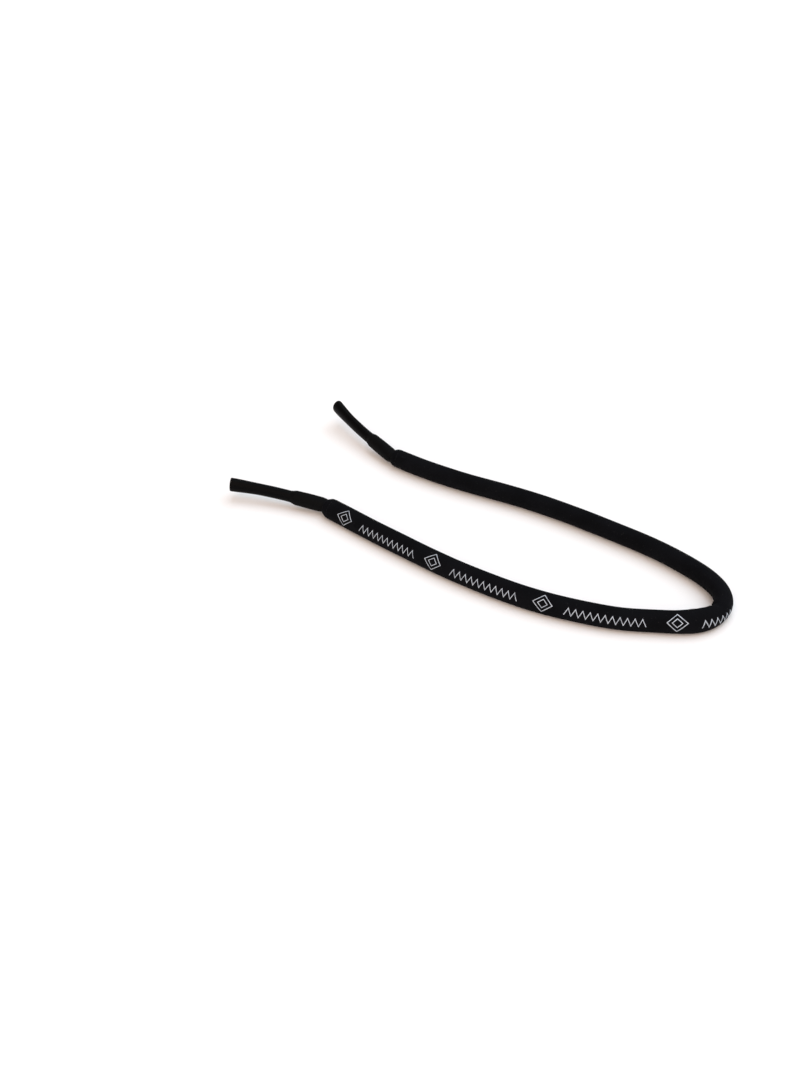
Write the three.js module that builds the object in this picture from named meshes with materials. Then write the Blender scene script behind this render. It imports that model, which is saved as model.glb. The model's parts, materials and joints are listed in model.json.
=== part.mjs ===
// Eyeglass retainer strap, in millimetres, +Z up, lying on the plane z = 0.
// An oval fabric sleeve over a foam rod lies in a long narrow loop, open towards -X. An elastic
// cord runs through the foam and ends in a bead at each side. Each bead sits in a rubber collar,
// and a silicone socket in the collar grips one temple of a pair of glasses.
// The wearer looks along -X, so the left side is at -Y.
import * as THREE from "three";

// Driving dimensions
const SLEEVE_HALF_WIDTH = 6.4; // oval fabric tube, outside
const SLEEVE_HALF_DEPTH = 5.55;
const SLEEVE_TILT_DEG = 31; // its broad face looks outwards and this far up
const SLEEVE_WALL = 1.3;
const SLEEVE_SIDES = 16;
const CORE_DRAWN_IN = 1.65; // foam rod, in from the sleeve's outside
const CORE_BORE_RADIUS = 1.6;
const CORE_SIDES = 12;
const CORD_RADIUS = 1.15;
const CORD_SIDES = 8;
const FIT_GAP = 0.3; // air between pieces that touch

const CORE_INSET = 7.6; // from the sleeve's mouth to the end of the foam
const WASHER_THICKNESS = 2.2;
const WASHER_RADIUS = 3.9;
const ROUTE_STEPS = 40;

const PIVOT_OUT = 3.0; // from the sleeve's mouth to the centre that a boot turns about
const BOOT_SPLAY_DEG = 15.7; // outwards from the -X direction, at the collar
const LEFT_LIFT_DEG = 3.7; // up from the table
const RIGHT_LIFT_DEG = 6.5;
const BOOT_BEND_RADIUS = 225; // sideways and outwards, past the collar

const TAIL_RADIUS = 4.6; // round tail of the collar, centred on the pivot
const COLLAR_END_RADIUS = 4.3;
const COLLAR_LENGTH = 21.5; // from the pivot
const COLLAR_SHOULDER = 1.6; // length of its rounded end
const COLLAR_LIP = 0.45;
const SEAT_RADIUS = 2.6; // round seat of the cord's bead
const BEAD_RADIUS = 2.2;
const TAIL_HOLE_RADIUS = 1.5;

const SOCKET_START = 11.5; // distances along the boot, from the pivot
const SOCKET_FLARE_START = 44;
const SOCKET_MOUTH = 60.8;
const SOCKET_STATION_STEP = 5.6;
const SOCKET_ROOT_RADIUS = 3.05; // inside the collar
const SOCKET_RADIUS = 3.5;
const SOCKET_MOUTH_RADIUS = 4;
const SOCKET_BORE_RADIUS = 2.35;
const SOCKET_MOUTH_BORE_RADIUS = 2.85;
const LIP_ROUND = 0.35;

const INSERT_START = 4.6;
const INSERT_END = 19.5;
const INSERT_RADIUS = 1.95;
const INSERT_BORE_RADIUS = 1.0;
const INSERT_FLANGE_RADIUS = 2.95;
const INSERT_FLANGE_THICKNESS = 1.0;
const INSERT_SEGMENTS = 16;
const BARB_PITCH = 2.4;
const BARB_DEPTH = 0.3;
const BARB_STEP = 0.1; // length of a barb's steep side
const TURNED_SEGMENTS = 20;

// Centre line of the sleeve as it lies, from the left mouth round the bend to the right mouth
const ROUTE = [
  [-92.3, -34.5],
  [-72.6, -36.6],
  [-53.0, -38.7],
  [-33.4, -40.4],
  [-13.7, -41.9],
  [6.0, -42.8],
  [25.8, -42.7],
  [45.5, -41.5],
  [65.0, -38.8],
  [84.2, -34.2],
  [95.0, -30.9],
  [105.5, -26.9],
  [115.6, -21.8],
  [125.4, -16.2],
  [135.1, -10.5],
  [143.7, -3.3],
  [148.6, 6.8],
  [147.6, 17.9],
  [141.3, 27.0],
  [131.8, 33.1],
  [121.2, 36.8],
  [110.2, 39.3],
  [99.1, 41.2],
  [87.8, 42.4],
  [68.1, 43.3],
  [48.4, 43.6],
  [28.7, 43.5],
  [8.9, 42.4],
  [-10.6, 40.0],
  [-30.1, 37.0],
  [-49.8, 34.8],
  [-69.5, 33.8],
  [-89.2, 34.1],
];

const fabricBlack = new THREE.MeshStandardMaterial({ color: 0x121315, roughness: 0.85 });
const foamGrey = new THREE.MeshStandardMaterial({ color: 0x2a2a2c, roughness: 0.95 });
const cordBlack = new THREE.MeshStandardMaterial({ color: 0x18181a, roughness: 0.8 });
const rubberBlack = new THREE.MeshStandardMaterial({ color: 0x0d0d0e, roughness: 0.6 });
const siliconeBlack = new THREE.MeshStandardMaterial({ color: 0x0b0b0d, roughness: 0.35 });
const plasticBlack = new THREE.MeshStandardMaterial({ color: 0x161618, roughness: 0.5 });
const crimpMetal = new THREE.MeshStandardMaterial({ color: 0x9a9ca0, roughness: 0.35, metalness: 1 });

const strap = new THREE.Group();

function addMesh(parent, name, geometry, material) {
  const mesh = new THREE.Mesh(geometry, material);
  mesh.name = name;
  parent.add(mesh);
  return mesh;
}

// A path that passes through given stations in straight steps, so that every tube made along
// the same stations bends at the same places.
class StationPath extends THREE.Curve {
  constructor(stations) {
    super();
    this.stations = stations;
  }

  getPoint(t, target = new THREE.Vector3()) {
    const last = this.stations.length - 1;
    const index = Math.min(Math.floor(t * last), last - 1);
    return target.lerpVectors(this.stations[index], this.stations[index + 1], t * last - index);
  }

  getUtoTmapping(u) {
    return u;
  }
}

// A regular polygon that stands on a flat side; its flats are at the given radius.
function polygonPoints(flatRadius, sides) {
  const cornerRadius = flatRadius / Math.cos(Math.PI / sides);
  const points = [];
  for (let i = 0; i < sides; i++) {
    const angle = ((i + 0.5) * 2 * Math.PI) / sides;
    points.push(new THREE.Vector2(cornerRadius * Math.cos(angle), cornerRadius * Math.sin(angle)));
  }
  return points;
}

// How far the sleeve's oval reaches in a direction; 0 is outwards and a quarter turn is up.
function ovalReach(angle) {
  const fromFace = angle - THREE.MathUtils.degToRad(SLEEVE_TILT_DEG);
  const depth = SLEEVE_HALF_DEPTH * Math.cos(fromFace);
  return Math.hypot(depth, SLEEVE_HALF_WIDTH * Math.sin(fromFace));
}

// The sleeve's oval as a polygon that stands on a flat side, drawn in by an inset. The extrusion
// turns a section's +X down and its +Y inwards.
function ovalPoints(inset, sides) {
  const step = (2 * Math.PI) / sides;
  const points = [];
  for (let i = 0; i < sides; i++) {
    const angle = i * step;
    const reach = ovalReach(angle) - inset;
    const nextReach = ovalReach(angle + step) - inset;
    const along = (nextReach - reach * Math.cos(step)) / Math.sin(step);
    const out = reach * Math.cos(angle) - along * Math.sin(angle);
    const up = reach * Math.sin(angle) + along * Math.cos(angle);
    points.push(new THREE.Vector2(-up, -out));
  }
  return points.reverse();
}

function tubeAlong(stations, outline, hole = null) {
  const section = new THREE.Shape(outline);
  if (hole) section.holes.push(new THREE.Path(hole));
  return new THREE.ExtrudeGeometry(section, {
    steps: stations.length - 1,
    bevelEnabled: false,
    extrudePath: new StationPath(stations),
  });
}

// Turns a closed outline of [radius, distance along the axis] pairs about the +Y axis.
function turned(outline, segments = TURNED_SEGMENTS) {
  const points = [...outline, outline[0]].map(([radius, along]) => new THREE.Vector2(radius, along));
  return new THREE.LatheGeometry(points, segments);
}

// Points of an arc about (0, along) in the turned outlines, from one angle to another; 0 is outwards.
function arc(radius, along, fromDeg, toDeg, steps) {
  const points = [];
  for (let i = 0; i <= steps; i++) {
    const angle = THREE.MathUtils.degToRad(fromDeg + ((toDeg - fromDeg) * i) / steps);
    points.push([radius * Math.cos(angle), along + radius * Math.sin(angle)]);
  }
  return points;
}

// The sleeve's route, and where it leaves each mouth
const SLEEVE_HEIGHT = ovalReach(-Math.PI / 2);
const route = new THREE.CatmullRomCurve3(
  ROUTE.map(([x, y]) => new THREE.Vector3(x, y, SLEEVE_HEIGHT)),
  false,
  "centripetal",
);
route.arcLengthDivisions = 2000;
const routeLength = route.getLength();
const insetShare = CORE_INSET / routeLength;

const coreStations = [];
for (let i = 0; i <= ROUTE_STEPS; i++) {
  coreStations.push(route.getPointAt(insetShare + (i / ROUTE_STEPS) * (1 - 2 * insetShare)));
}
const leftMouth = route.getPointAt(0);
const rightMouth = route.getPointAt(1);
const leftOut = leftMouth.clone().sub(coreStations[0]).normalize();
const rightOut = rightMouth.clone().sub(coreStations[ROUTE_STEPS]).normalize();
const tailClearance = TAIL_RADIUS - PIVOT_OUT + FIT_GAP;
const cordLeft = leftMouth.clone().addScaledVector(leftOut, -tailClearance);
const cordRight = rightMouth.clone().addScaledVector(rightOut, -tailClearance);

addMesh(
  strap,
  "sleeve",
  tubeAlong([leftMouth, ...coreStations, rightMouth], ovalPoints(0, SLEEVE_SIDES),
    ovalPoints(SLEEVE_WALL, SLEEVE_SIDES)),
  fabricBlack,
);
addMesh(
  strap,
  "foam_core",
  tubeAlong(coreStations, ovalPoints(CORE_DRAWN_IN, CORE_SIDES),
    polygonPoints(CORE_BORE_RADIUS, CORD_SIDES)),
  foamGrey,
);
addMesh(
  strap,
  "inner_cord",
  tubeAlong([cordLeft, ...coreStations, cordRight], polygonPoints(CORD_RADIUS, CORD_SIDES)),
  cordBlack,
);

// One frame for each end: its +Y axis points along the given direction.
function frameAt(position, direction) {
  const frame = new THREE.Group();
  frame.position.copy(position);
  frame.quaternion.setFromUnitVectors(new THREE.Vector3(0, 1, 0), direction);
  strap.add(frame);
  return frame;
}

function washerGeometry() {
  const bottom = -CORE_INSET + FIT_GAP;
  const top = bottom + WASHER_THICKNESS;
  return turned([
    [CORE_BORE_RADIUS, bottom],
    [WASHER_RADIUS, bottom],
    [WASHER_RADIUS, top],
    [CORE_BORE_RADIUS, top],
  ]);
}

function beadGeometry() {
  return new THREE.SphereGeometry(BEAD_RADIUS, 16, 10);
}

function collarGeometry() {
  const holeDeg = THREE.MathUtils.radToDeg(Math.acos(TAIL_HOLE_RADIUS / TAIL_RADIUS));
  const seatHoleDeg = THREE.MathUtils.radToDeg(Math.acos(TAIL_HOLE_RADIUS / SEAT_RADIUS));
  const passageRadius = INSERT_RADIUS + FIT_GAP;
  const seatOpenDeg = THREE.MathUtils.radToDeg(Math.acos(passageRadius / SEAT_RADIUS));
  const recessRadius = SOCKET_ROOT_RADIUS + FIT_GAP;
  const recessStart = SOCKET_START - FIT_GAP - INSERT_FLANGE_THICKNESS - FIT_GAP;
  return turned([
    ...arc(TAIL_RADIUS, 0, -holeDeg, 0, 8),
    [COLLAR_END_RADIUS, COLLAR_LENGTH - COLLAR_SHOULDER],
    [(COLLAR_END_RADIUS + recessRadius + COLLAR_LIP) / 2, COLLAR_LENGTH - COLLAR_SHOULDER / 2],
    [recessRadius + COLLAR_LIP, COLLAR_LENGTH],
    [recessRadius, COLLAR_LENGTH],
    [recessRadius, recessStart],
    [passageRadius, recessStart],
    ...arc(SEAT_RADIUS, 0, seatOpenDeg, -seatHoleDeg, 7),
  ]);
}

function insertGeometry() {
  const flangeTop = SOCKET_START - FIT_GAP;
  const flangeBottom = flangeTop - INSERT_FLANGE_THICKNESS;
  const barbs = [];
  for (let along = flangeTop + 1; along + BARB_PITCH < INSERT_END; along += BARB_PITCH) {
    barbs.push([INSERT_RADIUS, along]);
    barbs.push([INSERT_RADIUS - BARB_DEPTH, along + BARB_PITCH - BARB_STEP]);
  }
  return turned([
    [INSERT_BORE_RADIUS, INSERT_START],
    [INSERT_RADIUS, INSERT_START],
    [INSERT_RADIUS, flangeBottom],
    [INSERT_FLANGE_RADIUS, flangeBottom],
    [INSERT_FLANGE_RADIUS, flangeTop],
    [INSERT_RADIUS - BARB_DEPTH, flangeTop],
    ...barbs,
    [INSERT_RADIUS - BARB_DEPTH, INSERT_END],
    [INSERT_BORE_RADIUS, INSERT_END],
  ], INSERT_SEGMENTS);
}

// Bends the part of a turned piece that lies past the collar to an arc towards its +X.
function bentPastCollar(geometry) {
  const position = geometry.getAttribute("position");
  for (let i = 0; i < position.count; i++) {
    const past = position.getY(i) - COLLAR_LENGTH;
    if (past <= 0) continue;
    const angle = past / BOOT_BEND_RADIUS;
    const reach = BOOT_BEND_RADIUS - position.getX(i);
    const side = BOOT_BEND_RADIUS - reach * Math.cos(angle);
    position.setXY(i, side, COLLAR_LENGTH + reach * Math.sin(angle));
  }
  geometry.computeVertexNormals();
  return geometry;
}

function flareAt(along) {
  return THREE.MathUtils.smoothstep(along, SOCKET_FLARE_START, SOCKET_MOUTH);
}

function socketGeometry() {
  const stations = [];
  for (let along = COLLAR_LENGTH + FIT_GAP; along < SOCKET_MOUTH - LIP_ROUND; along += SOCKET_STATION_STEP) {
    stations.push(along);
  }
  const outer = stations.map((along) => [
    THREE.MathUtils.lerp(SOCKET_RADIUS, SOCKET_MOUTH_RADIUS, flareAt(along)), along]);
  const bore = stations.toReversed().map((along) => [
    THREE.MathUtils.lerp(SOCKET_BORE_RADIUS, SOCKET_MOUTH_BORE_RADIUS, flareAt(along)), along]);
  return bentPastCollar(turned([
    [SOCKET_BORE_RADIUS, SOCKET_START],
    [SOCKET_ROOT_RADIUS, SOCKET_START],
    [SOCKET_ROOT_RADIUS, COLLAR_LENGTH + FIT_GAP],
    ...outer,
    [SOCKET_MOUTH_RADIUS, SOCKET_MOUTH - LIP_ROUND],
    [SOCKET_MOUTH_RADIUS - LIP_ROUND / 3, SOCKET_MOUTH],
    [SOCKET_MOUTH_BORE_RADIUS, SOCKET_MOUTH],
    ...bore,
  ]));
}

// side is -1 for the wearer's left, at -Y, and 1 for the right
function addEnd(label, side, liftDeg, mouth, out) {
  addMesh(frameAt(mouth, out), `${label}_end_washer`, washerGeometry(), plasticBlack);
  const splay = THREE.MathUtils.degToRad(BOOT_SPLAY_DEG);
  const lift = THREE.MathUtils.degToRad(liftDeg);
  const along = new THREE.Vector3(
    -Math.cos(lift) * Math.cos(splay),
    side * Math.cos(lift) * Math.sin(splay),
    Math.sin(lift),
  );
  const outward = new THREE.Vector3(Math.sin(splay), side * Math.cos(splay), 0);
  const basis = new THREE.Matrix4().makeBasis(outward, along, outward.clone().cross(along));
  const boot = new THREE.Group();
  boot.position.copy(mouth).addScaledVector(out, PIVOT_OUT);
  boot.quaternion.setFromRotationMatrix(basis);
  strap.add(boot);
  addMesh(boot, `${label}_cord_stop`, beadGeometry(), crimpMetal);
  addMesh(boot, `${label}_collar`, collarGeometry(), rubberBlack);
  addMesh(boot, `${label}_barb_insert`, insertGeometry(), plasticBlack);
  addMesh(boot, `${label}_temple_socket`, socketGeometry(), siliconeBlack);
}

addEnd("left", -1, LEFT_LIFT_DEG, leftMouth, leftOut);
addEnd("right", 1, RIGHT_LIFT_DEG, rightMouth, rightOut);

export default strap;
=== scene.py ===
# %% [markdown]
# # Eyeglass retainer strap
# A sports strap that keeps glasses on: a soft round fabric sleeve over a foam rod, with a rubber
# collar and a silicone socket at each end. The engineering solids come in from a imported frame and
# never move. This notebook dresses them: it remakes the soft sleeve as fabric, the rubber ends as
# moulded parts, and adds the print and the stitching.

# %% Load the frame
import json
import math

import bmesh
import bpy
import numpy as np
from mathutils import Matrix, Vector


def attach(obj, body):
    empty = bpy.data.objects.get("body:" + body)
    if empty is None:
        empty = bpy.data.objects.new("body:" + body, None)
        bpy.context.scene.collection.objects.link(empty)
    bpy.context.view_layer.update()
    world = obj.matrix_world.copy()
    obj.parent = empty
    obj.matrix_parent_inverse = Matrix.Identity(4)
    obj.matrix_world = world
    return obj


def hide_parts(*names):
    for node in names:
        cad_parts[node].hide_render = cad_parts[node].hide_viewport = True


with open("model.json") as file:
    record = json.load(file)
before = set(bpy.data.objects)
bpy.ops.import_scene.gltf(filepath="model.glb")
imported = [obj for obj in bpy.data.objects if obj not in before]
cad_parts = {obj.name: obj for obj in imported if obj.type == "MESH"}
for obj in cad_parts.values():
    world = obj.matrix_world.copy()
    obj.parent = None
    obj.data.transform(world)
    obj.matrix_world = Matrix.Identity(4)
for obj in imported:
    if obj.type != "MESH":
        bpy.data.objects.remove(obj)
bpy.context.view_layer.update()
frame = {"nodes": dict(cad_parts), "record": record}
joints = {joint["name"]: joint for joint in frame["record"]["behaviour"]["joints"]}

# %% [markdown]
# ## Camera
# The strap is seen from above, at about arm's length, from the wearer's left and from behind the
# loop, with a normal 50 mm lens. The camera could be aimed by a constraint, but a level camera is
# simpler to read as a place, a heading and a downward tilt.

# %% Camera
CAMERA_PLACE = (0.3666, -0.6259, 0.5477)
CAMERA_HEADING = math.radians(34.66)
CAMERA_TILT_DOWN = math.radians(37.21)

camera_data = bpy.data.cameras.new("camera")
camera_data.lens = 50
camera_data.sensor_width = 36
camera_data.dof.use_dof = False
camera = bpy.data.objects.new("camera", camera_data)
bpy.context.scene.collection.objects.link(camera)
camera.location = CAMERA_PLACE
camera.rotation_euler = (math.pi / 2 - CAMERA_TILT_DOWN, 0, CAMERA_HEADING)
bpy.context.scene.camera = camera
print("camera is", round(Vector(CAMERA_PLACE).length, 3), "m from the strap's middle")

# %% [markdown]
# ## The line that the sleeve follows
# A soft tube is best thought of as a line with a section swept along it. The line is a list of
# points, from the left mouth round the bend to the right mouth, and a natural cubic spline makes
# it smooth: its curvature has no jumps, so the tube shows no kinks. Everything on the sleeve, the
# print and the stitches too, is placed by two numbers: how far along, and how far round.

# %% Route of the sleeve
MM = 0.001
SLEEVE_RADIUS = 6.0 * MM
ROUTE_MM = [
    (-92.3, -34.5), (-72.6, -36.6), (-53.0, -38.7), (-33.4, -40.4),
    (-13.7, -41.9), (6.0, -42.8), (25.8, -42.7), (45.5, -41.5),
    (65.0, -38.8), (84.2, -34.2), (95.0, -30.9), (105.5, -26.9),
    (115.6, -21.8), (125.4, -16.2), (135.1, -10.5), (143.7, -3.3),
    (148.6, 6.8), (147.6, 17.9), (141.3, 27.0), (131.8, 33.1),
    (121.2, 36.8), (110.2, 39.3), (99.1, 41.2), (87.8, 42.4),
    (68.1, 43.3), (48.4, 43.6), (28.7, 43.5), (8.9, 42.4),
    (-10.6, 40.0), (-30.1, 37.0), (-49.8, 34.8), (-69.5, 33.8),
    (-89.2, 34.1),
]


def natural_spline(knots, values, wanted):
    """The natural cubic spline through values at knots, read at the wanted places."""
    count = len(knots)
    gap = np.diff(knots)
    system = np.eye(count)
    right = np.zeros((count, values.shape[1]))
    for i in range(1, count - 1):
        system[i, i - 1:i + 2] = gap[i - 1], 2 * (gap[i - 1] + gap[i]), gap[i]
        slope = np.diff(values[i - 1:i + 2], axis=0) / gap[i - 1:i + 1, None]
        right[i] = 6 * (slope[1] - slope[0])
    bend = np.linalg.solve(system, right)
    i = np.clip(np.searchsorted(knots, wanted) - 1, 0, count - 2)
    a = ((knots[i + 1] - wanted) / gap[i])[:, None]
    b = 1 - a
    reach = (gap[i] ** 2 / 6)[:, None]
    cubic = ((a ** 3 - a) * bend[i] + (b ** 3 - b) * bend[i + 1]) * reach
    return a * values[i] + b * values[i + 1] + cubic


route = np.array(ROUTE_MM) * MM
knots = np.concatenate([[0], np.cumsum(np.hypot(*np.diff(route, axis=0).T))])
fine_line = natural_spline(knots, route, np.linspace(0, knots[-1], 4001))
fine_along = np.concatenate([[0], np.cumsum(np.hypot(*np.diff(fine_line, axis=0).T))])
SLEEVE_LENGTH = float(fine_along[-1])
fine_forward = np.gradient(fine_line, axis=0)
fine_forward /= np.hypot(*fine_forward.T)[:, None]
print("sleeve length, mm:", round(SLEEVE_LENGTH / MM, 1))


def line_at(along):
    """Points of the centre line, and the forward and outward directions, at distances along it."""
    inside = np.clip(along, 0, SLEEVE_LENGTH)
    point, forward = (
        np.stack([np.interp(inside, fine_along, table[:, i]) for i in (0, 1)], axis=-1)
        for table in (fine_line, fine_forward)
    )
    forward /= np.linalg.norm(forward, axis=-1, keepdims=True)
    point = point + forward * (along - inside)[..., None]
    outward = np.stack([forward[..., 1], -forward[..., 0]], axis=-1)
    return point, forward, outward


# %% [markdown]
# ## The sleeve's surface
# The real tube is a knit skin on foam. It is oval, with its broad printed face turned out and up,
# and it is no pipe: it is a little flat where it lies, it creases and buckles on the inside of the
# bend and is drawn in at its heel, it gathers at the hemmed mouths, and its skin is never quite
# even. Each of these is a small function of two numbers, and their sum is the radius at that place,
# so that the sleeve, the print and the stitches all agree about where the surface is. The cloth
# also twists as it goes round the bend.

# %% Shape of the sleeve
HALF_WIDTH = 6.45 * MM
HALF_DEPTH = 5.6 * MM
FACE_TILT = math.radians(31)
SLEEVE_HEIGHT = 6.186 * MM
MOUTH_RADIUS = 5.05 * MM
MOUTH_TAPER = 5.2 * MM
MOUTH_ROUNDING = 2.2
TWIST_START = 238 * MM
TWIST_END = 285 * MM
TWIST = math.radians(-50)


def bump_at(value, middle, width):
    return np.exp(-(((value - middle) / width) ** 2))


def angle_from(angle, middle):
    """The angle from a middle one, between half a turn back and half a turn on."""
    return (angle - middle + math.pi) % (2 * math.pi) - math.pi


def curvature(along):
    """How sharply the centre line turns, in 1/m."""
    step = 2 * MM
    _, before, _ = line_at(along - step)
    _, after, _ = line_at(along + step)
    turn = before[..., 0] * after[..., 1] - before[..., 1] * after[..., 0]
    return np.arcsin(np.clip(turn, -1, 1)) / (2 * step)


def cloth_twist(along):
    """How far the cloth has turned round the core, because the bend drags its outer side."""
    share = np.clip((along - TWIST_START) / (TWIST_END - TWIST_START), 0, 1)
    return TWIST * share * share * (3 - 2 * share)


def body_radius(along, angle):
    """The plain oval, drawn in and rounded at the mouths."""
    from_end = np.clip(np.minimum(along, SLEEVE_LENGTH - along), 0, None)
    off_face = angle - FACE_TILT
    across, through = HALF_WIDTH * np.cos(off_face), HALF_DEPTH * np.sin(off_face)
    oval = HALF_WIDTH * HALF_DEPTH / np.hypot(across, through)
    drawn_in = np.clip(1 - from_end / MOUTH_TAPER, 0, 1) ** MOUTH_ROUNDING
    return oval + (MOUTH_RADIUS - oval) * drawn_in


# %% Unevenness, creases and the bend
UNEVENNESS = 0.045 * MM
CREASE_DEPTH = 0.7 * MM
FULLY_CREASED = 21 * MM  # the radius of the bend at which the creases are deepest
CREASE_SIDE = 0.12
BUCKLE_AT = 258.5 * MM
BUCKLE_SIDE = math.radians(140)
BUCKLE_SPREAD = math.radians(48)
BUCKLE_WAVES_MM = [(-15, 10.5, 1.15), (0, 2.1, -1.1), (5, 3, 0.4)]  # place, width, height
HEEL_AT = 258 * MM
HEEL_SIDE = math.radians(-32)
HEEL_LENGTH = 10 * MM
HEEL_SPREAD = math.radians(50)
HEEL_DRAWN_IN = 0.7 * MM


def unevenness(along, angle):
    """Ripples of three lengths, because no knit lies quite even."""
    ripples = np.sin(along / (23 * MM) + 1.3) * np.cos(angle * 2 + along / (61 * MM))
    ripples += 0.6 * np.sin(along / (9.1 * MM) + angle * 3 + 0.7)
    ripples += 0.4 * np.sin(along / (5.3 * MM) - angle * 2 + 2.1)
    return UNEVENNESS * ripples


def creases(along, angle):
    """How deep the fine creases are on the inner side, wherever the tube bends."""
    tight = np.clip(curvature(along) * FULLY_CREASED, 0, 1) ** 1.5
    inner_side = np.clip(-np.cos(angle + CREASE_SIDE), 0, 1) ** 1.6
    folds = np.sin(along / (0.86 * MM) + 1.4 * np.sin(along / (4.1 * MM)))
    folds = np.clip(folds, -0.35, 1) * (0.65 + 0.35 * np.sin(along / (2.7 * MM) + 0.5))
    return tight * inner_side * (CREASE_DEPTH * (0.55 + 0.45 * folds))


def buckle(along, angle):
    """The one deep fold at the tightest place, with the cloth pushed up on both sides of it."""
    wave = sum(height * bump_at(along, BUCKLE_AT + place * MM, width * MM)
               for place, width, height in BUCKLE_WAVES_MM)
    return MM * wave * bump_at(angle_from(angle, BUCKLE_SIDE), 0, BUCKLE_SPREAD)


def heel(along, angle):
    """How far the bend's outer, lower side is drawn in, where the cloth is stretched."""
    spread = bump_at(angle_from(angle, HEEL_SIDE), 0, HEEL_SPREAD)
    return HEEL_DRAWN_IN * (bump_at(along, HEEL_AT, HEEL_LENGTH) * spread)


# %% Hems, seam and the whole surface
GATHER_COUNT = 15
GATHER_LENGTH = 7.5 * MM
PLEAT_HEIGHT = 0.11 * MM
HEM_BULGE_AT = 2.4 * MM
HEM_BULGE = 0.10 * MM
HEM_STITCH_AT = 4.4 * MM
HEM_STITCH_DEPTH = 0.17 * MM
SEAM_ANGLE = math.radians(286)
SEAM_DEPTH = 0.14 * MM
SEAM_RIDGE = 0.07 * MM
SEAM_RIDGE_AT = 0.95 * MM
RESTING_GAP = 0.03 * MM
RESTING_SQUASH = 0.12


def hem_shape(along, angle):
    """The pleats of the gathered mouth, its rolled hem, and the groove that the stitches pull."""
    from_end = np.minimum(along, SLEEVE_LENGTH - along)
    gather = np.clip(1 - from_end / GATHER_LENGTH, 0, 1) ** 1.5
    pleats = PLEAT_HEIGHT * np.sin(GATHER_COUNT * angle + 0.8 * np.sin(3 * angle)) * gather
    bulge = HEM_BULGE * bump_at(from_end, HEM_BULGE_AT, 1.4 * MM)
    groove = HEM_STITCH_DEPTH * bump_at(from_end, HEM_STITCH_AT, 0.7 * MM)
    return pleats + bulge - groove


def seam_shape(along, angle):
    """The groove where the cloth's edges meet, with a soft ridge on each side of it."""
    seam_at = SEAM_ANGLE + cloth_twist(along)
    off_seam = np.abs(angle_from(angle, seam_at)) * SLEEVE_RADIUS
    ridges = SEAM_RIDGE * bump_at(off_seam, SEAM_RIDGE_AT, 0.4 * MM)
    return ridges - SEAM_DEPTH * bump_at(off_seam, 0, 0.35 * MM)


def skin_radius(along, angle):
    """The sleeve's radius at a distance along it and an angle round it (0 outwards, 90 deg up)."""
    radius = body_radius(along, angle) + unevenness(along, angle) - creases(along, angle)
    radius = radius + buckle(along, angle) - heel(along, angle)
    return radius + hem_shape(along, angle) + seam_shape(along, angle)


def place_round(along, angle, radius):
    """Points at a radius and an angle round the centre line; none of them goes under the table."""
    point, _, outward = line_at(along)
    spread = radius * np.cos(angle)
    height = SLEEVE_HEIGHT + radius * np.sin(angle)
    flattened = RESTING_GAP + (height - RESTING_GAP) * RESTING_SQUASH
    height = np.where(height < 4 * RESTING_GAP, flattened, height)
    height = np.maximum(height, RESTING_GAP / 2)
    flat = point + outward * spread[..., None]
    return np.concatenate([flat, height[..., None]], axis=-1)


def on_skin(along, angle, proud=0.0):
    """Points on the sleeve's surface, or a little proud of it."""
    along, angle = np.broadcast_arrays(np.asarray(along, float), np.asarray(angle, float))
    return place_round(along, angle, skin_radius(along, angle) + proud)


probe = on_skin(np.linspace(0, SLEEVE_LENGTH, 9), math.pi / 2)
print("top of the sleeve, mm:", [round(float(v) / MM, 2) for v in probe[:, 2]])

# %% [markdown]
# ## Small tools
# Three habits keep a script like this out of trouble: everything is deselected before something
# new is added, every mesh ends up with its place in its vertices and its object at the origin, and
# normals are set right before anything gets a thickness.

# %% Helpers for pieces
def start_clean():
    if bpy.context.object and bpy.context.object.mode != "OBJECT":
        bpy.ops.object.mode_set(mode="OBJECT")
    bpy.ops.object.select_all(action="DESELECT")


def select_only(piece):
    start_clean()
    piece.select_set(True)
    bpy.context.view_layer.objects.active = piece


def mesh_piece(name, points, faces):
    """A new object from points and faces, in metres."""
    start_clean()
    mesh = bpy.data.meshes.new(name)
    mesh.from_pydata([tuple(map(float, p)) for p in points], [], faces)
    mesh.update()
    piece = bpy.data.objects.new(name, mesh)
    bpy.context.scene.collection.objects.link(piece)
    select_only(piece)
    return piece


def fix_normals(piece, merge=None):
    select_only(piece)
    bpy.ops.object.mode_set(mode="EDIT")
    bpy.ops.mesh.select_all(action="SELECT")
    if merge:
        bpy.ops.mesh.remove_doubles(threshold=merge)
    bpy.ops.mesh.normals_make_consistent(inside=False)
    bpy.ops.object.mode_set(mode="OBJECT")


def smooth(piece, degrees):
    select_only(piece)
    bpy.ops.object.shade_smooth_by_angle(angle=math.radians(degrees))


def apply_modifiers(piece):
    select_only(piece)
    for modifier in list(piece.modifiers):
        bpy.ops.object.modifier_apply(modifier=modifier.name)


def settle(piece, matrix):
    """Moves the vertices by a matrix and leaves the object at the origin."""
    select_only(piece)
    piece.data.transform(matrix)
    piece.data.update()
    piece.location = (0, 0, 0)


def ring_faces(rings, ring_points):
    """Quads between rings of points, closed both round each ring and from the last to the first."""
    faces = []
    for i in range(rings):
        for j in range(ring_points):
            here, beside = i * ring_points, ((i + 1) % rings) * ring_points
            after = (j + 1) % ring_points
            faces.append((here + j, here + after, beside + after, beside + j))
    return faces


# %% [markdown]
# ## The sleeve
# The tube is swept in code, ring by ring, because only the swept form gives a clean map of the
# cloth: one axis of the map runs along the strap and the other round it, in real lengths, so the
# knit can follow the bend. The skin turns in at each mouth in a rolled hem, and then runs back
# inside as the lining, so that the tube is hollow and closed, as the sewn one is.

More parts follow.
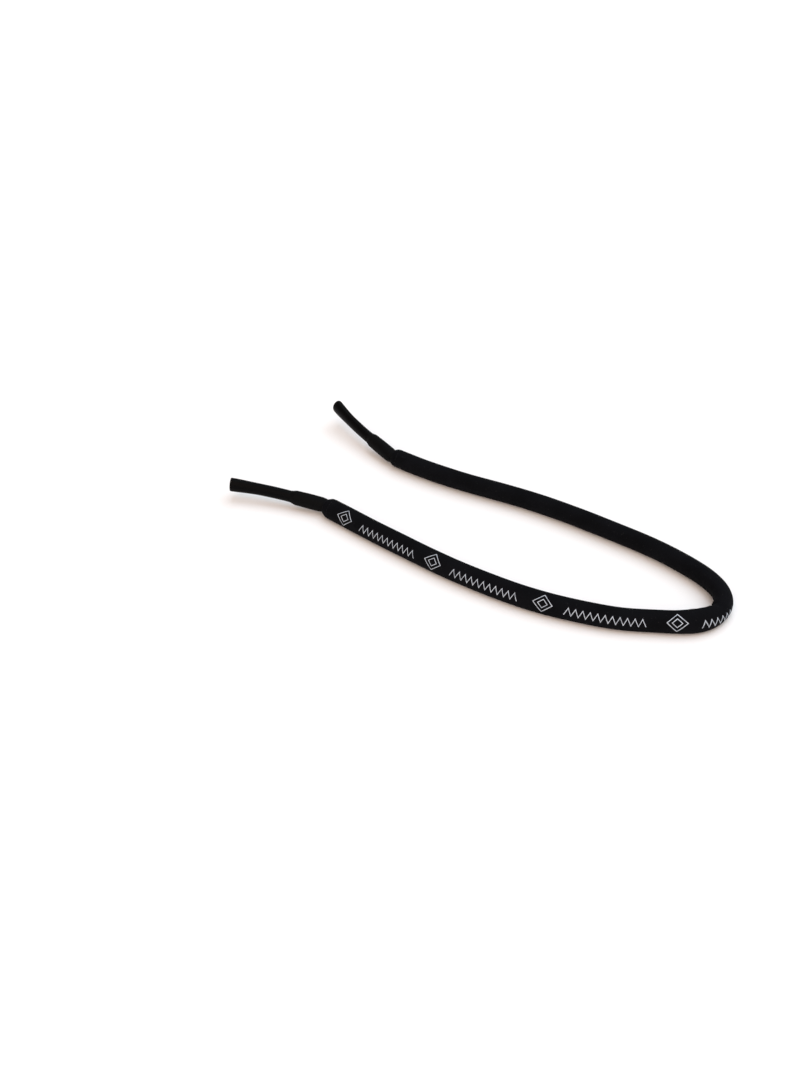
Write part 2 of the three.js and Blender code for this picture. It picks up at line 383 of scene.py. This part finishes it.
# %% Sleeve
RING_STEP = 1.15 * MM
RING_POINTS = 72
CLOTH_THICKNESS = 1.15 * MM
HEM_PROFILE = [(3.9, 0.0), (1.2, 0.02), (0.2, 0.1), (-0.28, 0.35), (-0.3, 0.66), (0.15, 0.93)]
SKIN_FROM = 0.7 * MM
LINING_FROM = 8 * MM
LINING_RINGS = 120
MAP_METRE = 10.0  # units of the cloth map in one metre


def sleeve_rings():
    """Rows of (distance along, share of the cloth's thickness), once through the whole skin."""
    hem = [(a * MM, share) for a, share in HEM_PROFILE]
    count = round((SLEEVE_LENGTH - 2 * SKIN_FROM) / RING_STEP)
    skin = [(a, 1.0) for a in np.linspace(SKIN_FROM, SLEEVE_LENGTH - SKIN_FROM, count)]
    far_hem = [(SLEEVE_LENGTH - a, share) for a, share in reversed(hem)]
    lining_alongs = np.linspace(SLEEVE_LENGTH - LINING_FROM, LINING_FROM, LINING_RINGS)
    lining = [(a, 0.0) for a in lining_alongs]
    return hem + skin + far_hem + lining


def build_sleeve():
    rings = sleeve_rings()
    angles = np.linspace(0, 2 * math.pi, RING_POINTS, endpoint=False)
    points = []
    for along, share in rings:
        row = np.full_like(angles, along)
        inside = body_radius(row, angles) - CLOTH_THICKNESS
        radius = inside + (skin_radius(row, angles) - inside) * share
        points.append(place_round(row, angles, radius))
    faces = ring_faces(len(points), RING_POINTS)
    piece = mesh_piece("sleeve_cloth", np.concatenate(points), faces)
    fix_normals(piece)
    cloth_map = piece.data.uv_layers.new(name="cloth")
    alongs = [along for along, _ in rings]
    for polygon in piece.data.polygons:
        columns = [piece.data.loops[i].vertex_index % RING_POINTS for i in polygon.loop_indices]
        wraps = max(columns) - min(columns) > 1
        for loop, column in zip(polygon.loop_indices, columns):
            row = piece.data.loops[loop].vertex_index // RING_POINTS
            turn = (column + (RING_POINTS if wraps and column == 0 else 0)) / RING_POINTS
            arc = turn * 2 * math.pi * SLEEVE_RADIUS
            cloth_map.data[loop].uv = (alongs[row] * MAP_METRE, arc * MAP_METRE)
    smooth(piece, 80)
    return piece


sleeve = build_sleeve()
print("sleeve:", len(sleeve.data.polygons), "faces")

# %% [markdown]
# ## The print
# A row of light grey marks runs along the outer side, where it faces outwards when the strap is
# worn: an outlined lozenge inside another, then a zigzag line of eleven peaks, over and over. It
# could be painted by the cloth's shader, but thin strips of real ink film stay crisp at every
# size. Each line is drawn flat, in metres along and round the tube, and then laid on the skin. The
# knit is stretched a little more towards the bend, so the repeat and the lines grow there.

# %% Print
INK_PROUD = 0.05 * MM
INK_THICKNESS = 0.09 * MM
INK_WIDTH = 0.42 * MM
FULL_WIDTH_FROM = 3  # the mark from which the lines have their full width
INK_THINNING = 0.06  # the share that they lose with each mark before it
PRINT_COUNT = 7
PRINT_CLEAR_OF_MOUTH = 8 * MM
PRINT_START = 18.8 * MM
PRINT_REPEAT = 70.9 * MM
PRINT_DRIFT = 3.8 * MM
ZIGZAG_PEAKS = 11
ZIGZAG_PITCH = 4.02 * MM
ZIGZAG_HEIGHT = 4.6 * MM
ZIGZAG_AFTER_MARK = 12.6 * MM
ZIGZAG_MIDDLE = math.radians(23)
MARK_MIDDLE = math.radians(34)
MARK_HALF_LENGTH = 5.6 * MM
MARK_HALF_HEIGHT = 5.3 * MM
MARK_INNER_SHARE = 0.5
SHARPEST_MITRE = 0.2
LONGEST_MITRE = 1.6


def print_place(index):
    return PRINT_START + PRINT_REPEAT * index - PRINT_DRIFT * math.sin(math.pi * index / 3)


def ink_strip(corners, width, closed=False):
    """Quads of a mitred line through flat corners (along, round), in metres."""
    corners = [np.array(c, float) for c in corners]
    count = len(corners)
    sides = []
    for i, here in enumerate(corners):
        before = corners[i - 1] if closed or i else here
        after = corners[(i + 1) % count] if closed or i < count - 1 else here
        first = here - before if np.any(here != before) else after - here
        second = after - here if np.any(after != here) else first
        first = first / np.linalg.norm(first)
        second = second / np.linalg.norm(second)
        mitre = np.array([-(first + second)[1], (first + second)[0]])
        mitre /= np.linalg.norm(mitre)
        normal = np.array([-first[1], first[0]])
        reach = min(width / 2 / max(float(mitre @ normal), SHARPEST_MITRE), LONGEST_MITRE * width)
        sides.append((here + mitre * reach, here - mitre * reach))
    return [(sides[i], sides[(i + 1) % count]) for i in range(count if closed else count - 1)]


def lay_ink(name, quads, middle_angle, pieces_per_quad):
    """Lays flat quads on the skin round an angle, as one sheet without thickness."""
    points, faces = [], []
    for (start_left, start_right), (end_left, end_right) in quads:
        first = len(points)
        for t in np.linspace(0, 1, pieces_per_quad + 1):
            left = start_left + (end_left - start_left) * t
            right = start_right + (end_right - start_right) * t
            for along, arc in (left, right):
                angle = middle_angle + cloth_twist(along) + arc / SLEEVE_RADIUS
                points.append(on_skin(along, angle, INK_PROUD))
        for i in range(pieces_per_quad):
            a = first + 2 * i
            faces.append((a, a + 1, a + 3, a + 2))
    piece = mesh_piece(name, points, faces)
    fix_normals(piece, 0.004 * MM)
    return piece


def make_film(piece):
    """Turns a sheet's faces away from the sleeve's centre line, then gives it thickness inwards."""
    shape = bmesh.new()
    shape.from_mesh(piece.data)
    for face in shape.faces:
        middle = np.array(face.calc_center_median())
        nearest = np.argmin(np.hypot(*(fine_line - middle[:2]).T))
        core = Vector((*fine_line[nearest], SLEEVE_HEIGHT))
        if face.normal.dot(Vector(middle) - core) < 0:
            face.normal_flip()
    shape.to_mesh(piece.data)
    shape.free()
    thick = piece.modifiers.new("film", "SOLIDIFY")
    thick.thickness = INK_THICKNESS
    thick.offset = -1
    apply_modifiers(piece)


zigzag_quads, mark_quads = [], []
for index in range(PRINT_COUNT):
    mark_at = print_place(index)
    line_width = INK_WIDTH * (1 - INK_THINNING * max(FULL_WIDTH_FROM - index, 0))
    for share in (1.0, MARK_INNER_SHARE):
        lozenge = [(mark_at - MARK_HALF_LENGTH * share, 0), (mark_at, -MARK_HALF_HEIGHT * share),
                   (mark_at + MARK_HALF_LENGTH * share, 0), (mark_at, MARK_HALF_HEIGHT * share)]
        mark_quads += ink_strip(lozenge, line_width, closed=True)
    low, high = -ZIGZAG_HEIGHT / 2, ZIGZAG_HEIGHT / 2
    stretch = (print_place(index + 1) - mark_at) / PRINT_REPEAT
    begin = mark_at + ZIGZAG_AFTER_MARK
    corners = [(begin, low)]
    while len(corners) < 2 * ZIGZAG_PEAKS + 1:
        here = corners[-1][0]
        pulled = 1 + float(curvature(here)) * HALF_WIDTH * math.cos(ZIGZAG_MIDDLE)
        step = ZIGZAG_PITCH / 2 * stretch / pulled
        corners.append((here + step, high if len(corners) % 2 else low))
    corners = [c for c in corners if c[0] < SLEEVE_LENGTH - PRINT_CLEAR_OF_MOUTH]
    zigzag_quads += ink_strip(corners, line_width)

ink_zigzags = lay_ink("printed_zigzags", zigzag_quads, ZIGZAG_MIDDLE, 5)
ink_marks = lay_ink("printed_lozenges", mark_quads, MARK_MIDDLE, 8)
make_film(ink_zigzags)
make_film(ink_marks)
print("print:", len(ink_zigzags.data.polygons) + len(ink_marks.data.polygons), "faces")

# %% [markdown]
# ## The sewing
# The tube is closed by one long flat seam, low on its inner side where it can't rub the neck, and
# each hem is held by a ring of stitches. Thread is a thin round line, so it is drawn as a curve
# with a bevel and turned into a mesh: that keeps every stitch the same thickness.

# %% Stitching
THREAD_RADIUS = 0.13 * MM
LOWEST_THREAD = 1.1 * THREAD_RADIUS
SEAM_STITCH = 2.3 * MM
SEAM_HALF_WIDTH = 0.75 * MM
SEAM_FROM_MOUTH = 6 * MM
SEAM_PATH_MM = [(0.0, 0.02), (0.12, 0.13), (0.88, 0.13)]  # share of a stitch, height
HEM_STITCHES = 20
HEM_STITCH_SHARE = 0.62
HEM_PATH_MM = [(-1.15, -0.12), (-0.9, 0.09), (-0.35, 0.15),
               (0.35, 0.15), (0.9, 0.09), (1.15, -0.12)]  # share of half a stitch, height


def thread(name, runs):
    """One mesh of round thread through several runs of points, kept above the table."""
    start_clean()
    data = bpy.data.curves.new(name, "CURVE")
    data.dimensions = "3D"
    data.bevel_depth = THREAD_RADIUS
    data.bevel_resolution = 1
    data.use_fill_caps = True
    for run in runs:
        spline = data.splines.new("POLY")
        spline.points.add(len(run) - 1)
        for point, (x, y, height) in zip(spline.points, run):
            point.co = (float(x), float(y), max(float(height), LOWEST_THREAD), 1)
    piece = bpy.data.objects.new(name, data)
    bpy.context.scene.collection.objects.link(piece)
    select_only(piece)
    bpy.ops.object.convert(target="MESH")
    piece = bpy.context.object
    smooth(piece, 60)
    return piece


def seam_run():
    """A zigzag from side to side of the seam, from near one mouth to near the other."""
    count = int((SLEEVE_LENGTH - 2 * SEAM_FROM_MOUTH) / (SEAM_STITCH / 2))
    places = []
    for i in range(count):
        along = SEAM_FROM_MOUTH + i * SEAM_STITCH / 2
        side = SEAM_HALF_WIDTH if i % 2 else -SEAM_HALF_WIDTH
        for share, proud in SEAM_PATH_MM:
            across = side * (1 - 2 * share)
            angle = SEAM_ANGLE + cloth_twist(along) + across / SLEEVE_RADIUS
            places.append(on_skin(along + share * SEAM_STITCH / 2, angle, proud * MM))
    return places


def hem_runs(along):
    """Short separate stitches in a ring, whose ends dip into the cloth."""
    runs = []
    for i in range(HEM_STITCHES):
        middle = 2 * math.pi * (i + 0.5) / HEM_STITCHES
        half = HEM_STITCH_SHARE * math.pi / HEM_STITCHES
        runs.append([on_skin(along, middle + half * a, p * MM) for a, p in HEM_PATH_MM])
    return runs


seam_thread = thread("seam_stitching", [seam_run()])
left_hem_thread = thread("left_hem_stitching", hem_runs(HEM_STITCH_AT))
right_hem_thread = thread("right_hem_stitching", hem_runs(SLEEVE_LENGTH - HEM_STITCH_AT))
threads = [seam_thread, left_hem_thread, right_hem_thread]
print("thread:", sum(len(piece.data.polygons) for piece in threads), "faces")

# %% [markdown]
# ## The rubber ends
# Each end is a turned shape: a round-tailed rubber collar, and a thin silicone tube that flares a
# little at its mouth. A turned shape can be spun from a profile, but growing it ring by ring, as on
# a lathe, is easier to steer: a circle is added, and every step extrudes it along the axis and
# scales it to the next radius. The end closes on its start, so the wall has an inside too. Two
# faint moulding lines run along opposite sides, where the halves of the mould met. The round tail
# is a ball about the neck's pivot and a little smaller than the collar, which leaves a groove at
# the sleeve's mouth and lets the boot turn in it.

# %% Turning helper
TURN_SIDES = 64
OUTER_SHARE = 0.66  # of the widest radius: points past it are on the outside


def turned_piece(name, outline_mm, parting_mm):
    """A wall grown through (radius, along) points about +Z, closed from the last to the first."""
    start_clean()
    (radius, along), rest = outline_mm[0], outline_mm[1:] + outline_mm[:1]
    bpy.ops.mesh.primitive_circle_add(vertices=TURN_SIDES, radius=radius * MM,
                                      location=(0, 0, along * MM))
    piece = bpy.context.object
    bpy.ops.object.transform_apply(location=True, rotation=False, scale=False)
    piece.name = piece.data.name = name
    bpy.ops.object.mode_set(mode="EDIT")
    bpy.ops.mesh.select_all(action="SELECT")
    for next_radius, next_along in rest:
        step = (0, 0, (next_along - along) * MM)
        bpy.ops.mesh.extrude_region_move(TRANSFORM_OT_translate={"value": step})
        share = next_radius / radius
        bpy.ops.transform.resize(value=(share, share, 1), center_override=(0, 0, next_along * MM))
        radius, along = next_radius, next_along
    bpy.ops.mesh.select_all(action="SELECT")
    bpy.ops.mesh.remove_doubles(threshold=0.002 * MM)
    bpy.ops.mesh.normals_make_consistent(inside=False)
    bpy.ops.object.mode_set(mode="OBJECT")
    raise_parting_line(piece, parting_mm * MM, outline_mm)
    smooth(piece, 38)
    return piece


def raise_parting_line(piece, height, outline_mm):
    """Lifts the two rows of outer points where the mould's halves met."""
    widest = max(radius for radius, _ in outline_mm) * MM
    for vertex in piece.data.vertices:
        radius = math.hypot(vertex.co.x, vertex.co.y)
        outer = radius > OUTER_SHARE * widest
        if outer and abs(vertex.co.y) < 0.01 * MM:
            vertex.co.x *= 1 + height / radius


def arc_points(radius, middle, from_deg, to_deg, steps):
    """Points of an arc about (0, middle) in a turned outline; 0 degrees points outwards."""
    turns = [math.radians(from_deg + (to_deg - from_deg) * i / steps) for i in range(steps + 1)]
    return [(radius * math.cos(t), middle + radius * math.sin(t)) for t in turns]


def ease(value):
    value = min(max(value, 0.0), 1.0)
    return value * value * (3 - 2 * value)


# %% Collar and socket outlines
TAIL_RADIUS_MM = 4.35
COLLAR_END_MM = 21.5
SOCKET_RADIUS_MM = 3.5
SOCKET_START_MM = 11.6
SOCKET_MOUTH_MM = 60.8
FLARE_START_MM = 42.0
FLARE_MM = 0.5
SOCKET_WALL_MM = 1.02
GRIP_RIBS_MM = (39.0, 35.5, 32.0, 28.5, 25.0)


def collar_outline():
    tail = arc_points(TAIL_RADIUS_MM, 0, -71.5, 0, 16)
    body = [(4.5, 0.8), (4.58, 1.8), (4.57, 4.5), (4.58, 7.5), (4.56, 10.5), (4.49, 13.5),
            (4.43, 16.0), (4.4, 17.6)]
    shares = [i / 9 for i in range(10)]
    shoulder = [(3.68 + 0.7 * ease(1 - share), 18.0 + 3.3 * share) for share in shares]
    lip = [(3.63, 21.45), (3.57, 21.5), (3.54, 21.35)]
    recess = [(3.54, 21.0), (3.4, 20.8), (3.4, 9.8), (2.25, 9.8)]
    seat = arc_points(2.6, 0, 30, -54.5, 9)
    return tail + body + shoulder + lip + recess + seat


def socket_outer(along):
    flare = ease((along - FLARE_START_MM) / (SOCKET_MOUTH_MM - FLARE_START_MM))
    return SOCKET_RADIUS_MM + FLARE_MM * flare


def socket_outline():
    mouth = SOCKET_MOUTH_MM
    stations = [20.9, 23, 26, 29.5, 33, 37, *np.linspace(FLARE_START_MM, mouth - 0.9, 12)]
    outer = [(3.05, SOCKET_START_MM), (3.05, 20.3)]
    outer += [(socket_outer(a), float(a)) for a in stations]
    lip = [(3.99, 0.55), (3.94, 0.25), (3.82, 0.05), (3.64, 0.0), (3.34, 0.0), (3.12, 0.07),
           (2.99, 0.28)]
    lip = [(radius, mouth - back) for radius, back in lip]
    bore_alongs = np.linspace(mouth - 0.8, FLARE_START_MM, 10)
    bore = [(socket_outer(a) - SOCKET_WALL_MM, float(a)) for a in bore_alongs]
    grip = []
    for along in GRIP_RIBS_MM:
        grip += [(2.38, along + 0.7), (2.27, along + 0.3)]
        grip += [(2.27, along - 0.3), (2.38, along - 0.7)]
    return outer + lip + bore + grip + [(2.35, SOCKET_START_MM)]


print("collar points:", len(collar_outline()), " socket points:", len(socket_outline()))

# %% [markdown]
# The ends are not perfectly round: rubber stretched over flat temple tips stays a little taller
# than it is wide, and more so towards the mouth. So each turned shape is scaled into an oval whose
# strength grows along it and fades out at the neck, where the ball has to stay round. The socket is
# then bent on a gentle arc, and both pieces are placed at the neck of their side.

# %% Build both ends
BOOT_SPLAY = math.radians(15.7)
BOOT_LIFT = {"left": math.radians(3.7), "right": math.radians(6.5)}
NECK_END_MM = 10.0
BOOT_BEND_RADIUS = 225 * MM
TALLER, TALLER_AT_MOUTH = 0.07, 0.10
NARROWER, NARROWER_AT_MOUTH = 0.05, 0.08


def boot_matrix(side):
    """Puts the origin on the neck's pivot, +Z along the boot and +X away from the head."""
    hand = -1 if side == "left" else 1
    lift = BOOT_LIFT[side]
    level = math.cos(lift)
    aside = hand * level * math.sin(BOOT_SPLAY)
    forward = Vector((-level * math.cos(BOOT_SPLAY), aside, math.sin(lift)))
    outward = Vector((math.sin(BOOT_SPLAY), hand * math.cos(BOOT_SPLAY), 0))
    turn = Matrix((outward, forward.cross(outward), forward)).transposed().to_4x4()
    return Matrix.Translation(Vector(joints[f"{side}_boot_swing"]["pos_m"])) @ turn


def make_oval(piece):
    """Makes the round section a little tall and narrow, and more so towards the mouth."""
    for vertex in piece.data.vertices:
        past_neck = ease(vertex.co.z / MM / NECK_END_MM)
        to_mouth = (vertex.co.z / MM - COLLAR_END_MM) / (SOCKET_MOUTH_MM - COLLAR_END_MM)
        to_mouth = min(max(to_mouth, 0), 1)
        vertex.co.y *= 1 + TALLER * past_neck + TALLER_AT_MOUTH * to_mouth
        vertex.co.x *= 1 - NARROWER * past_neck - NARROWER_AT_MOUTH * to_mouth


def bend_outwards(piece):
    """Bends what lies past the collar to a gentle arc towards +X, as a temple holds it."""
    start = COLLAR_END_MM * MM
    for vertex in piece.data.vertices:
        past = vertex.co.z - start
        if past > 0:
            turn = past / BOOT_BEND_RADIUS
            reach = BOOT_BEND_RADIUS - vertex.co.x
            vertex.co.x = BOOT_BEND_RADIUS - reach * math.cos(turn)
            vertex.co.z = start + reach * math.sin(turn)


ends = {}
for side in ("left", "right"):
    place = boot_matrix(side)
    collar = turned_piece(f"{side}_rubber_collar", collar_outline(), 0.05)
    socket = turned_piece(f"{side}_silicone_socket", socket_outline(), 0.045)
    make_oval(collar)
    make_oval(socket)
    bend_outwards(socket)
    for piece in (collar, socket):
        settle(piece, place)
    ends[side] = {"collar": collar, "socket": socket}
    print(side, "end:", len(collar.data.polygons) + len(socket.data.polygons), "faces")

# %% [markdown]
# ## Finishes
# Shader sums read best as sums, so one small class wraps a shader socket and lets Python's
# operators add the maths nodes. Every other node goes through one method of the finish itself.

# %% Shader tools
class Value:
    """A number on a shader socket that can be used in Python expressions."""

    def __init__(self, finish, socket):
        self.finish, self.socket = finish, socket

    def math(self, operation, *others):
        node = self.finish.node("Math", {"operation": operation}, dict(enumerate((self, *others))))
        return Value(self.finish, node.outputs[0])

    def __add__(self, other):
        return self.math("ADD", other)

    def __mul__(self, other):
        return self.math("MULTIPLY", other)

    def __sub__(self, other):
        return self.math("SUBTRACT", other)

    def __rsub__(self, other):
        node = self.finish.node("Math", {"operation": "SUBTRACT"}, {0: other, 1: self})
        return Value(self.finish, node.outputs[0])

    def __truediv__(self, other):
        return self.math("DIVIDE", other)

    __radd__, __rmul__ = __add__, __mul__

    def clamped(self):
        return self.math("MAXIMUM", 0.0).math("MINIMUM", 1.0)


class Finish:
    """A procedural material: its nodes, and the fixed numbers of its surface shader."""

    def __init__(self, name, **fixed):
        self.material = bpy.data.materials.new(name)
        self.material.use_nodes = True
        self.tree = self.material.node_tree
        self.surface = self.tree.nodes["Principled BSDF"]
        for label, number in fixed.items():
            self.surface.inputs[label.replace("_", " ")].default_value = number

    def node(self, kind, settings=None, values=None):
        made = self.tree.nodes.new("ShaderNode" + kind)
        for label, setting in (settings or {}).items():
            setattr(made, label, setting)
        for label, value in (values or {}).items():
            self.put(made.inputs[label], value)
        return made

    def put(self, target, value):
        source = value.socket if isinstance(value, Value) else value
        if isinstance(source, bpy.types.NodeSocket):
            self.tree.links.new(source, target)
        else:
            target.default_value = source

    def value(self, kind, settings=None, values=None):
        return Value(self, self.node(kind, settings, values).outputs[0])

    def place(self):
        return self.node("TexCoord").outputs["Object"]

    def noise(self, scale, detail, roughness=0.5):
        return self.value("TexNoise", None, {"Vector": self.place(), "Scale": scale,
                                             "Detail": detail, "Roughness": roughness})

    def mix(self, share, first, second):
        node = self.node("Mix", {"data_type": "RGBA"}, {0: share, 6: (*first, 1), 7: (*second, 1)})
        return node.outputs[2]

    def band(self, value, low, high):
        """Rises smoothly from 0 to 1 while the value goes from low to high."""
        return self.value("MapRange", {"interpolation_type": "SMOOTHSTEP"},
                          {0: value, 1: low, 2: high, 3: 0.0, 4: 1.0})

    def bump(self, height, depth, strength=1.0):
        node = self.node("Bump", None, {"Height": height, "Distance": depth, "Strength": strength})
        self.put(self.surface.inputs["Normal"], node.outputs["Normal"])

    def set(self, **inputs):
        for label, value in inputs.items():
            self.put(self.surface.inputs[label.replace("_", " ")], value)

    def wear(self, *pieces):
        for piece in pieces:
            piece.data.materials.clear()
            piece.data.materials.append(self.material)


print("shader tools ready")

# %% [markdown]
# ### Knit skin
# Close up the skin is a fine jersey: columns of small V-shaped loops that run along the strap. The
# loops are drawn from the cloth map with cosines, so they bend with the tube. A little fuzz keeps it
# from looking like plastic, and a weak sheen lifts the edges as nap does. The black is painted
# lighter on the raised loops and fuzz and darker in the hollows between them, which is painted
# shade, and it also varies in random clouds.

# %% Knit skin finish
WALE_WIDTH_MM = 0.62
LOOP_HEIGHT_MM = 0.5
LOOP_SLANT = 1.3
MAP_TO_MM = 1000 / MAP_METRE
FULL_TURN = 2 * math.pi
DUST = (0.3, 0.3, 0.31, 1)


def knit_finish():
    finish = Finish("knit_skin", Roughness=0.82, Specular_IOR_Level=0.038, Sheen_Weight=0.005,
                    Sheen_Roughness=0.45, Sheen_Tint=(0.72, 0.8, 1.0, 1.0))
    cloth = finish.node("UVMap", {"uv_map": "cloth"}).outputs[0]
    split = finish.node("SeparateXYZ", None, {0: cloth})
    along = Value(finish, split.outputs[0]) * MAP_TO_MM
    across = Value(finish, split.outputs[1]) * MAP_TO_MM
    column = ((across / WALE_WIDTH_MM).math("FRACT") - 0.5).math("ABSOLUTE")
    rounded = (column * FULL_TURN).math("COSINE") * 0.5 + 0.5
    loops = ((along / LOOP_HEIGHT_MM + column * LOOP_SLANT) * FULL_TURN).math("COSINE") * 0.5 + 0.5
    fuzz = finish.noise(3800.0, 3.0)
    height = rounded * 0.55 + loops * (0.2 + rounded * 0.25) + fuzz * 0.35
    finish.bump(height, 0.00007, 0.9)
    cloudy = finish.noise(60.0, 3.0)
    lint = finish.band(finish.noise(1500.0, 0.0), 0.80, 0.84)
    # Painted shade: the black is darker in the knit's hollows and lighter on its raised loops and
    # fuzz, with random clouds mixed in.
    loop_shade_and_cloud = finish.band(height, 0.25, 1.05) * 0.65 + finish.band(cloudy, 0.3, 0.7) * 0.35
    dark = finish.mix(loop_shade_and_cloud.clamped(), (0.0010, 0.0011, 0.0015), (0.0052, 0.0056, 0.0074))
    dusty = finish.node("Mix", {"data_type": "RGBA"}, {0: lint * 0.05, 6: dark, 7: DUST})
    finish.set(Base_Color=dusty.outputs[2], Roughness=0.74 + cloudy * 0.18)
    return finish


knit = knit_finish()
knit.wear(sleeve)

# %% [markdown]
# ### Ink, thread and the hidden parts
# The grey ink sits on a textured cloth, so it is never solid: the knit breaks it up, and rubbing
# has thinned it in patches. Thread is twisted, which a fine slanted stripe shows well enough: the
# stripe is a bump, and painted shade that darkens the grooves between the plies.

# %% Ink and thread finishes
def ink_finish():
    finish = Finish("print_ink", Specular_IOR_Level=0.3)
    rubbed = finish.band(finish.noise(420.0, 4.0, roughness=0.7), 0.30, 0.62)
    grain = finish.noise(5200.0, 2.0)
    share = (rubbed * 0.75 + grain * 0.4).clamped()
    finish.set(Base_Color=finish.mix(share, (0.22, 0.25, 0.30), (0.50, 0.56, 0.63)),
               Roughness=0.5 + grain * 0.3)
    finish.bump(grain, 0.00003)
    return finish


def thread_finish():
    finish = Finish("sewing_thread", Specular_IOR_Level=0.12, Sheen_Weight=0.02)
    ply_relief_and_shade = finish.value("TexWave", {"bands_direction": "DIAGONAL"},
                           {"Vector": finish.place(), "Scale": 900.0, "Distortion": 1.5})
    # Painted shade: the thread is darker in the grooves between its twisted plies, along the same
    # stripe that the bump raises.
    finish.set(Base_Color=finish.mix(ply_relief_and_shade, (0.002, 0.002, 0.0025), (0.008, 0.008, 0.0095)),
               Roughness=0.5 + ply_relief_and_shade * 0.2)
    finish.bump(ply_relief_and_shade, 0.00004)
    return finish


ink_finish().wear(ink_zigzags, ink_marks)
thread_finish().wear(*threads)

# %% [markdown]
# ### Rubber and silicone
# The collar is matte moulded rubber: the mould was spark-textured, so its skin is finely pitted.
# The socket is silicone, smoother and a little glossier, with faint drag marks from being pulled on
# and off, and a trace of dust, which silicone always collects.

# %% Rubber and silicone finishes
GREY_DUST = (0.25, 0.25, 0.25, 1)


def rubber_finish():
    finish = Finish("collar_rubber", Specular_IOR_Level=0.045)
    pits = finish.noise(2600.0, 3.0, roughness=0.6)
    handled = finish.noise(110.0, 3.0)
    finish.set(Base_Color=finish.mix(handled, (0.0012, 0.0012, 0.0014), (0.0034, 0.0035, 0.0039)),
               Roughness=0.5 + handled * 0.22)
    finish.bump(pits, 0.00004, 0.8)
    return finish


def silicone_finish():
    finish = Finish("socket_silicone", Specular_IOR_Level=0.04)
    smears = finish.noise(240.0, 4.0, roughness=0.65)
    fine = finish.noise(1800.0, 2.0)
    dust = finish.band(finish.noise(2400.0, 1.0), 0.72, 0.82)
    black = finish.mix(smears, (0.0008, 0.0008, 0.0010), (0.0022, 0.0022, 0.0026))
    dusted = finish.node("Mix", {"data_type": "RGBA"}, {0: dust * 0.10, 6: black, 7: GREY_DUST})
    finish.set(Base_Color=dusted.outputs[2], Roughness=0.30 + smears * 0.20)
    finish.bump(fine * 0.4 + smears, 0.00005, 0.5)
    return finish


rubber, silicone = rubber_finish(), silicone_finish()
for side in ("left", "right"):
    rubber.wear(ends[side]["collar"])
    silicone.wear(ends[side]["socket"])


def plain_finish(name, low, high, scale, roughness, metallic=0.0):
    """A finish for a part that lies inside: two close tones and a fine bump."""
    finish = Finish(name, Metallic=metallic, Specular_IOR_Level=0.3)
    grain = finish.noise(scale, 3.0)
    finish.set(Base_Color=finish.mix(grain, low, high), Roughness=roughness + grain * 0.15)
    finish.bump(grain, 0.00005)
    return finish


nylon = plain_finish("guide_nylon", (0.012, 0.012, 0.013), (0.03, 0.03, 0.032), 900.0, 0.4)
foam = plain_finish("core_foam", (0.015, 0.015, 0.016), (0.05, 0.05, 0.052), 1600.0, 0.85)
braid = plain_finish("elastic_braid", (0.006, 0.006, 0.007), (0.03, 0.03, 0.033), 2400.0, 0.7)
steel = plain_finish("crimp_steel", (0.32, 0.32, 0.33), (0.5, 0.5, 0.5), 700.0, 0.3, metallic=1.0)
nodes = frame["nodes"]
foam.wear(nodes["foam_core"])
braid.wear(nodes["inner_cord"])
for side in ("left", "right"):
    nylon.wear(nodes[f"{side}_end_washer"], nodes[f"{side}_barb_insert"])
    steel.wear(nodes[f"{side}_cord_stop"])
print("finishes:", sorted(m.name for m in bpy.data.materials))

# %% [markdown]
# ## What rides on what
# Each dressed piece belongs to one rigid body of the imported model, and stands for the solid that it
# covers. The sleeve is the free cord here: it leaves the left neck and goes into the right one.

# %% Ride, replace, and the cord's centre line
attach(sleeve, "strap")
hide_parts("sleeve")
on_sleeve = [ink_zigzags, ink_marks, *threads]
for piece in on_sleeve:
    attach(piece, "strap")
for side in ("left", "right"):
    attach(ends[side]["collar"], f"{side}_boot")
    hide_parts(f"{side}_collar")
    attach(ends[side]["socket"], f"{side}_boot")
    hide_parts(f"{side}_temple_socket")

cord_alongs = np.linspace(0, SLEEVE_LENGTH, 160)
cord_line = [(float(x), float(y), SLEEVE_HEIGHT) for x, y in line_at(cord_alongs)[0]]
print("declared cord, mm:", round(SLEEVE_LENGTH / MM, 1))

# %% [markdown]
# ## Table and light
# The table is plain white, and so bright that it just clips. The main light is a sun made very
# wide, as a large window is: high, a little behind and to the right, so that shadows stay short and
# melt away forwards. A warm sky and a warm, wide lamp from the viewer's side fill the shadows, even
# under the tube's overhang, which makes them soft and peach.

# %% Table and light
def soft_sun(name, direction, strength, width_deg, colour):
    """A very wide sun: parallel light as from a large window, the same all over the table."""
    data = bpy.data.lights.new(name, "SUN")
    data.energy = strength
    data.angle = math.radians(width_deg)
    data.color = colour
    lamp = bpy.data.objects.new(name, data)
    lamp.rotation_euler = (-Vector(direction)).to_track_quat("-Z", "Y").to_euler()
    bpy.context.scene.collection.objects.link(lamp)
    return lamp


TABLE_SIZE = 60
WARM_WHITE = (1.0, 0.83, 0.72, 1)
WORLD_STRENGTH = 0.43

start_clean()
bpy.ops.mesh.primitive_plane_add(size=TABLE_SIZE, location=(0, 0, 0))
table = bpy.context.object
table.name = "table"
paper = Finish("white_table", Roughness=0.75, Specular_IOR_Level=0.2)
paper_grain = paper.noise(700.0, 2.0)
paper.set(Base_Color=paper.mix(paper_grain, (0.90, 0.90, 0.90), (0.92, 0.92, 0.92)))
paper.wear(table)

soft_sun("window_light", (0.20, 0.40, 1.0), 1.7, 70, (0.86, 1.06, 1.23))
soft_sun("room_fill", (0.30, -0.75, 0.62), 2.05, 80, (1.0, 0.83, 0.73))
world = bpy.data.worlds.new("studio")
world.use_nodes = True
sky = world.node_tree.nodes["Background"]
sky.inputs["Color"].default_value = WARM_WHITE
sky.inputs["Strength"].default_value = WORLD_STRENGTH
bpy.context.scene.world = world
bpy.context.scene.view_settings.view_transform = "Standard"
